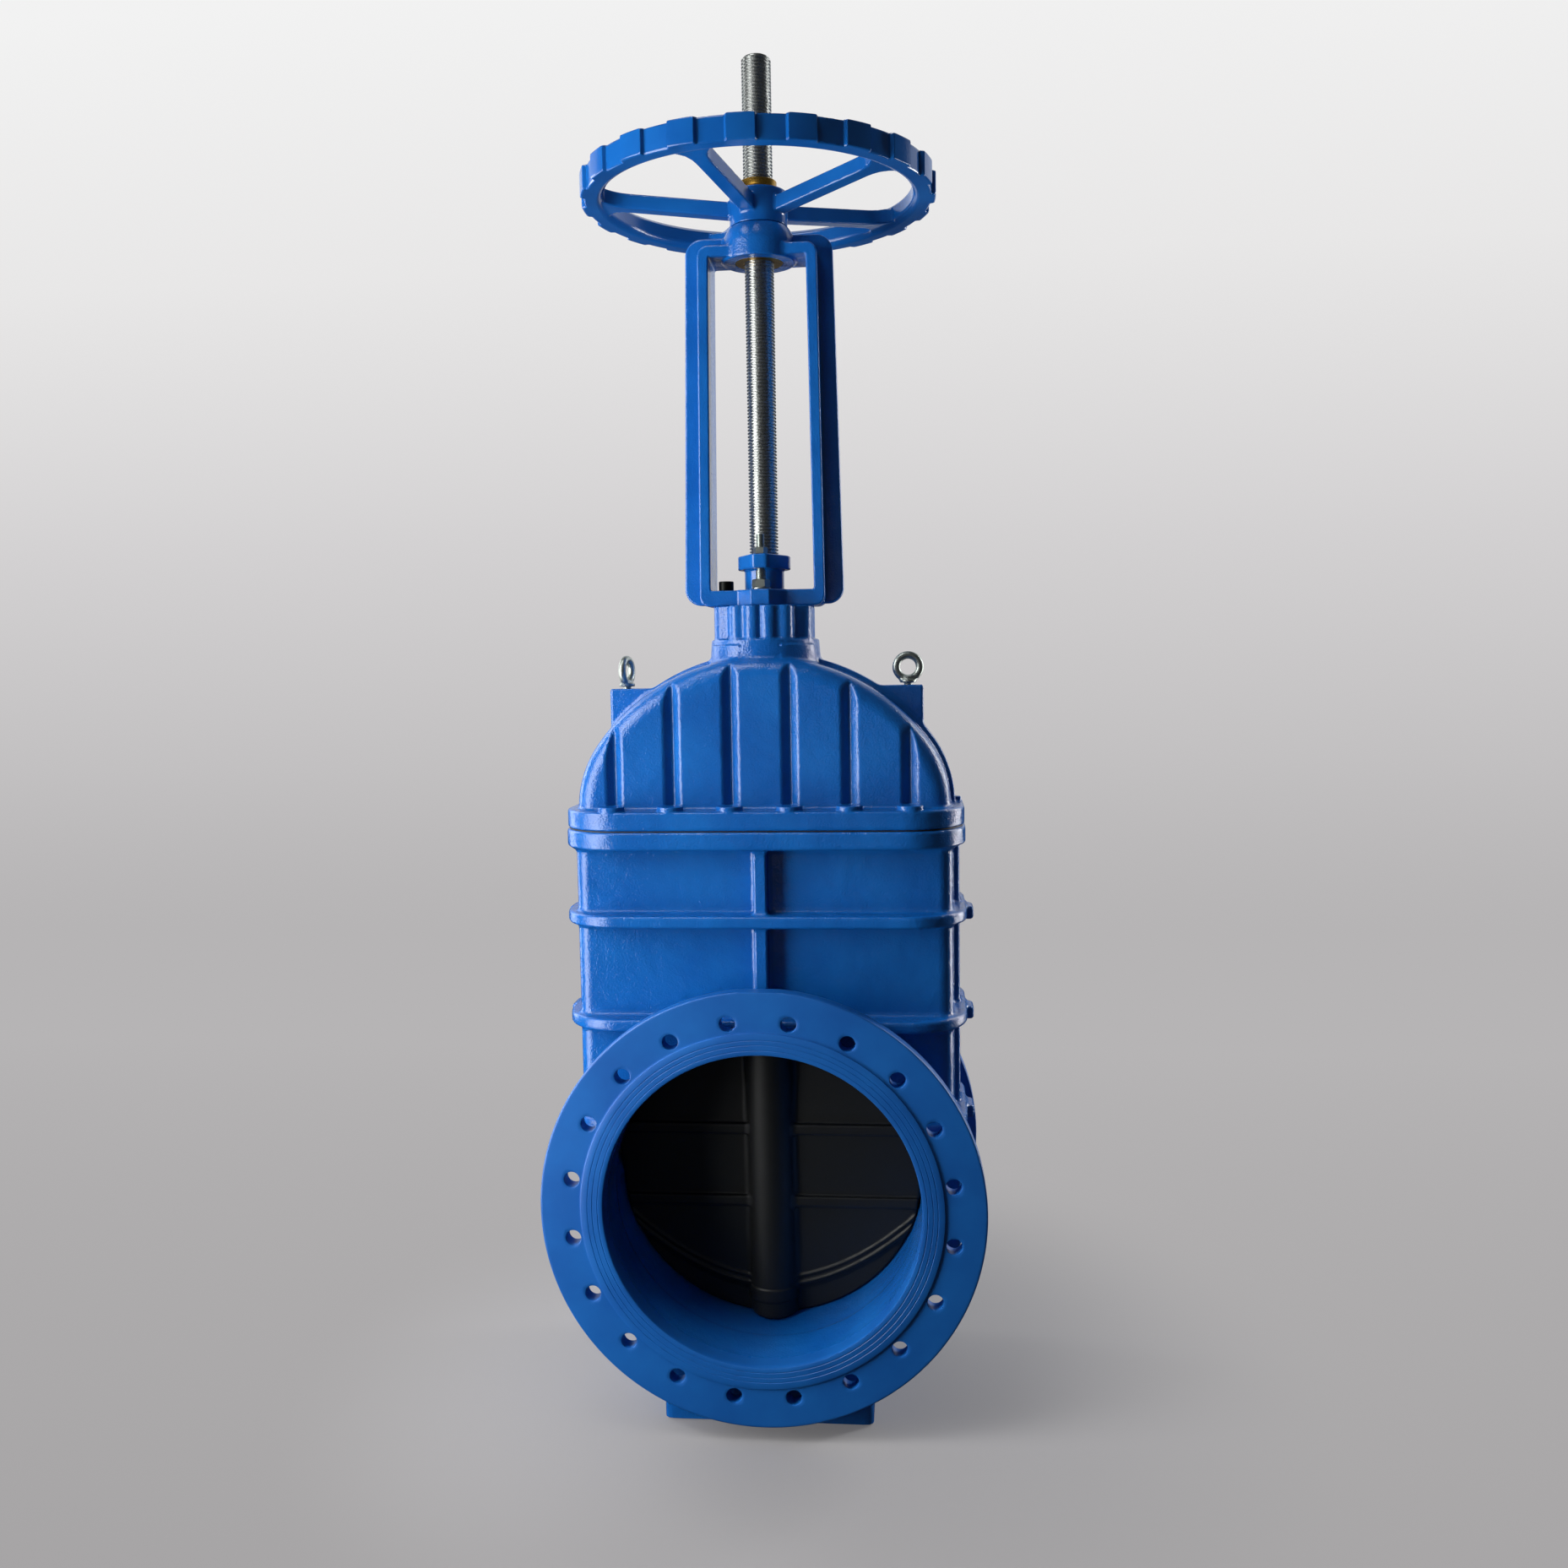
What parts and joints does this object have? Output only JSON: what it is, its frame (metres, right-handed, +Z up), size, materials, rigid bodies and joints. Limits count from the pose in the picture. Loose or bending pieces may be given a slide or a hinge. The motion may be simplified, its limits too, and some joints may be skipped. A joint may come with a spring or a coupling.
{
  "type": "gate valve",
  "caption": "Flanged resilient seated gate valve with an outside screw and yoke, a rising stem and a handwheel, its wedge across the bore.",
  "frame": {"origin": "middle of the underside of the foot, below the stem, on the floor", "axes": "+Z up along the stem, +Y along the pipe from the front flange to the back flange, +X to the right as seen from the front flange"},
  "size_m": [0.8398, 0.68, 2.6203],
  "materials": {
    "blue_coat": "gloss",
    "rubber": "satin",
    "black_seal": "matt",
    "brass": "satin",
    "zinc": "satin",
    "stem_steel": "satin",
    "black_steel": "satin",
    "shoe_plastic": "matt"
  },
  "bodies": {
    "valve": {"body": "blue_coat", "bonnet": "blue_coat", "bonnet_gasket": "black_seal", "front_bonnet_screws": "zinc", "back_bonnet_screws": "zinc", "yoke": "blue_coat", "yoke_screw": "black_steel", "gland": "blue_coat", "stem_packing": "black_seal", "front_gland_stud": "zinc", "back_gland_stud": "zinc", "front_gland_nut": "zinc", "back_gland_nut": "zinc", "front_yoke_nut_washer": "zinc", "back_yoke_nut_washer": "zinc", "front_yoke_nut": "zinc", "back_yoke_nut": "zinc", "left_eyebolt": "zinc", "right_eyebolt": "zinc", "thrust_washer": "brass"},
    "wheel": {"handwheel": "blue_coat", "screw_sleeve": "brass", "lock_ring": "brass"},
    "rising_stem": {"stem": "stem_steel", "wedge": "rubber", "wedge_nut": "brass", "left_guide_shoe": "shoe_plastic", "right_guide_shoe": "shoe_plastic"}
  },
  "joints": [
    {"name": "wheel_turn", "type": "hinge", "parent": "valve", "child": "wheel", "pos_m": [0, 0, 2.37], "axis": [0, 0, 1], "range_deg": [0, 34696]},
    {"name": "stem_lift", "type": "slide", "parent": "valve", "child": "rising_stem", "axis": [0, 0, 1], "range_m": [0, 0.612]}
  ],
  "couplings": [
    {"joint": "stem_lift", "follows": "wheel_turn", "m_per_rad": 0.0010106}
  ]
}
